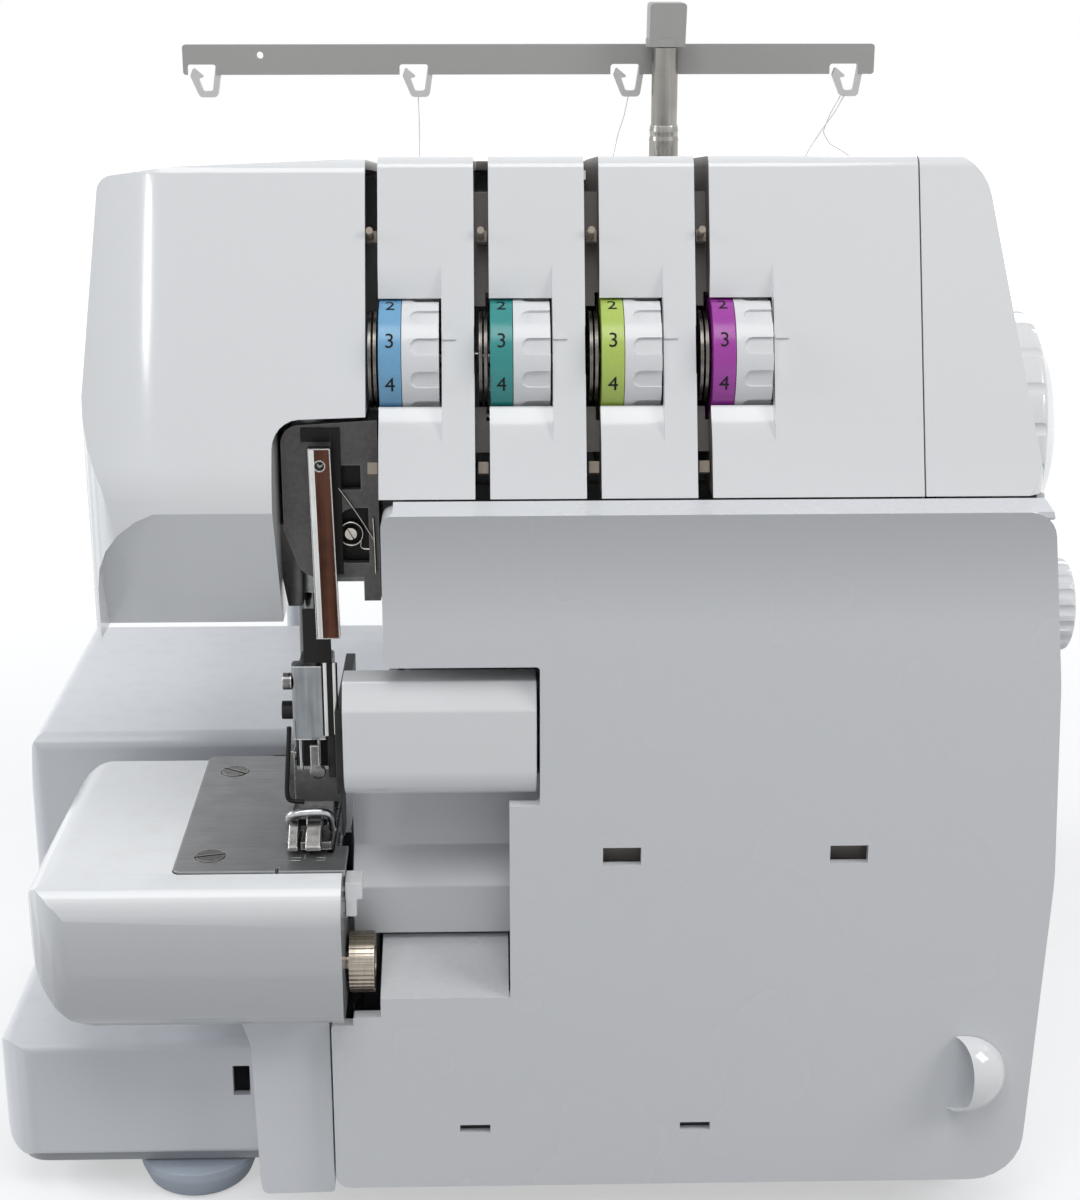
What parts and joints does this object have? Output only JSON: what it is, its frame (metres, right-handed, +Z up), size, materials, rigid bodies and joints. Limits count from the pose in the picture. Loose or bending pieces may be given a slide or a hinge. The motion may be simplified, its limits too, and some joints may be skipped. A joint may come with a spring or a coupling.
{
  "type": "serger overlock machine",
  "caption": "Domestic overlock sewing machine with free arm, hinged front cover, tension dials, handwheel and telescopic thread stand.",
  "frame": {"origin": "on the table under the middle of the machine's bounding box", "axes": "+Z up, -Y towards the operator, +X towards the handwheel"},
  "size_m": [0.3126, 0.28, 0.3229],
  "materials": {
    "white_gloss": "gloss white mouldings",
    "white_satin": "satin white mouldings",
    "grey_tray": "light grey base",
    "foot_rubber": "light grey rubber",
    "band_blue": "blue ring",
    "band_teal": "teal ring",
    "band_lime": "lime ring",
    "band_purple": "purple ring",
    "satin_steel": "satin steel",
    "bright_steel": "bright plating",
    "cast_frame": "cast, as machined",
    "black_steel": "blackened",
    "bronze": "nickel bronze",
    "beige": "beige guide",
    "black_plastic": "black",
    "belt_rubber": "black rubber"
  },
  "bodies": {
    "machine": {"base_tray": "grey_tray", "rubber_feet": "foot_rubber", "base_box": "white_satin", "bed_box": "white_satin", "arm_post": "white_satin", "arm_cover": "white_gloss", "needle_plate": "satin_steel", "needle_plate_screws": "satin_steel", "head_cover": "white_gloss", "tension_panel": "white_gloss", "end_cover": "white_gloss", "top_cover": "white_gloss", "side_cover": "white_satin", "rear_cover": "white_satin", "inner_frame": "cast_frame", "bar_bracket": "cast_frame", "knife_guard": "white_gloss", "waste_chute": "white_satin", "tension_discs": "satin_steel", "thread_guides": "beige", "head_plate": "cast_frame", "thread_channel": "bright_steel", "lower_knife": "satin_steel", "shaft_bearings": "bronze", "motor": "black_steel", "drive_belt": "belt_rubber", "power_inlet": "black_plastic", "spool_stand": "white_satin", "spool_pins": "white_satin", "pole_tube": "bright_steel"},
    "cover_carrier": {"hinge_carrier": "satin_steel"},
    "front_door": {"front_cover": "white_satin", "thumb_grip": "white_gloss"},
    "dial_one": {"dial_1": "white_gloss", "band_1": "band_blue"},
    "dial_two": {"dial_2": "white_gloss", "band_2": "band_teal"},
    "dial_three": {"dial_3": "white_gloss", "band_3": "band_lime"},
    "dial_four": {"dial_4": "white_gloss", "band_4": "band_purple"},
    "needle_drive": {"needle_bar": "bright_steel", "needle_clamp": "satin_steel"},
    "presser": {"presser_bar": "bright_steel", "foot_ankle": "satin_steel"},
    "foot": {"presser_foot": "satin_steel"},
    "knife": {"upper_knife": "black_steel"},
    "feed": {"feed_dog": "satin_steel"},
    "looper_low": {"lower_looper": "satin_steel"},
    "looper_up": {"upper_looper": "satin_steel"},
    "finger": {"finger_lever": "white_gloss"},
    "width_dial": {"width_knob": "bronze"},
    "length_dial": {"length_knob": "white_gloss"},
    "wheel": {"handwheel": "white_gloss", "main_shaft": "satin_steel"},
    "motor_rotor": {"motor_pulley": "satin_steel"},
    "rocker": {"power_rocker": "black_plastic"},
    "lifter": {"lifter_lever": "white_satin"},
    "thread_tree": {"tree_tube": "bright_steel", "tree_bar": "grey_tray"}
  },
  "joints": [
    {"name": "cover_slide", "type": "slide", "parent": "machine", "child": "cover_carrier", "axis": [1, 0, 0], "range_m": [0, 0.008]},
    {"name": "cover_hinge", "type": "hinge", "parent": "cover_carrier", "child": "front_door", "pos_m": [0, -0.124, 0.017], "axis": [1, 0, 0], "range_deg": [0, 85]},
    {"name": "tension_turn_1", "type": "hinge", "parent": "machine", "child": "dial_one", "pos_m": [-0.0367, -0.097, 0.23995], "axis": [1, 0, 0], "range_deg": [-90, 180]},
    {"name": "tension_turn_2", "type": "hinge", "parent": "machine", "child": "dial_two", "pos_m": [-0.0084, -0.097, 0.23995], "axis": [1, 0, 0], "range_deg": [-90, 180]},
    {"name": "tension_turn_3", "type": "hinge", "parent": "machine", "child": "dial_three", "pos_m": [0.0199, -0.097, 0.23995], "axis": [1, 0, 0], "range_deg": [-90, 180]},
    {"name": "tension_turn_4", "type": "hinge", "parent": "machine", "child": "dial_four", "pos_m": [0.0482, -0.097, 0.23995], "axis": [1, 0, 0], "range_deg": [-90, 180]},
    {"name": "needle_stroke", "type": "slide", "parent": "machine", "child": "needle_drive", "axis": [0, 0, 1], "range_m": [-0.016, 0]},
    {"name": "presser_lift", "type": "slide", "parent": "machine", "child": "presser", "axis": [0, 0, 1], "range_m": [0, 0.0067]},
    {"name": "foot_pivot", "type": "hinge", "parent": "presser", "child": "foot", "pos_m": [-0.0665, -0.086, 0.1254], "axis": [1, 0, 0], "range_deg": [-5, 1]},
    {"name": "knife_stroke", "type": "slide", "parent": "machine", "child": "knife", "axis": [0, 0, 1], "range_m": [-0.004, 0]},
    {"name": "feed_stroke", "type": "slide", "parent": "machine", "child": "feed", "axis": [0, 1, 0], "range_m": [-0.0015, 0.0015]},
    {"name": "lower_looper_swing", "type": "hinge", "parent": "machine", "child": "looper_low", "pos_m": [-0.051, -0.09, 0.046], "axis": [0, 1, 0], "range_deg": [-3, 8]},
    {"name": "upper_looper_swing", "type": "hinge", "parent": "machine", "child": "looper_up", "pos_m": [-0.051, -0.097, 0.031], "axis": [0, 1, 0], "range_deg": [-2, 7]},
    {"name": "finger_shift", "type": "slide", "parent": "machine", "child": "finger", "axis": [0, 1, 0], "range_m": [0, 0.004]},
    {"name": "width_turn", "type": "hinge", "parent": "machine", "child": "width_dial", "pos_m": [-0.052, -0.1215, 0.079], "axis": [1, 0, 0], "range_deg": [-170, 170]},
    {"name": "length_turn", "type": "hinge", "parent": "machine", "child": "length_dial", "pos_m": [0.137, -0.098, 0.172], "axis": [1, 0, 0], "range_deg": [-135, 135]},
    {"name": "wheel_turn", "type": "hinge", "parent": "machine", "child": "wheel", "pos_m": [0.14, -0.015, 0.203], "axis": [1, 0, 0], "continuous": true},
    {"name": "motor_turn", "type": "hinge", "parent": "machine", "child": "motor_rotor", "pos_m": [0.116, 0.022, 0.066], "axis": [1, 0, 0], "continuous": true},
    {"name": "power_press", "type": "hinge", "parent": "machine", "child": "rocker", "pos_m": [0.129, 0.021, 0.074], "axis": [0, 1, 0], "range_deg": [-8, 8]},
    {"name": "lifter_raise", "type": "hinge", "parent": "machine", "child": "lifter", "pos_m": [-0.088, 0.075, 0.186], "axis": [0, -1, 0], "range_deg": [0, 55]},
    {"name": "tree_raise", "type": "slide", "parent": "machine", "child": "thread_tree", "axis": [0, 0, 1], "range_m": [0, 0.12]}
  ],
  "couplings": [
    {"joint": "motor_turn", "follows": "wheel_turn", "ratio": 2.6667},
    {"joint": "lifter_raise", "follows": "presser_lift", "rad_per_m": 143.2}
  ]
}
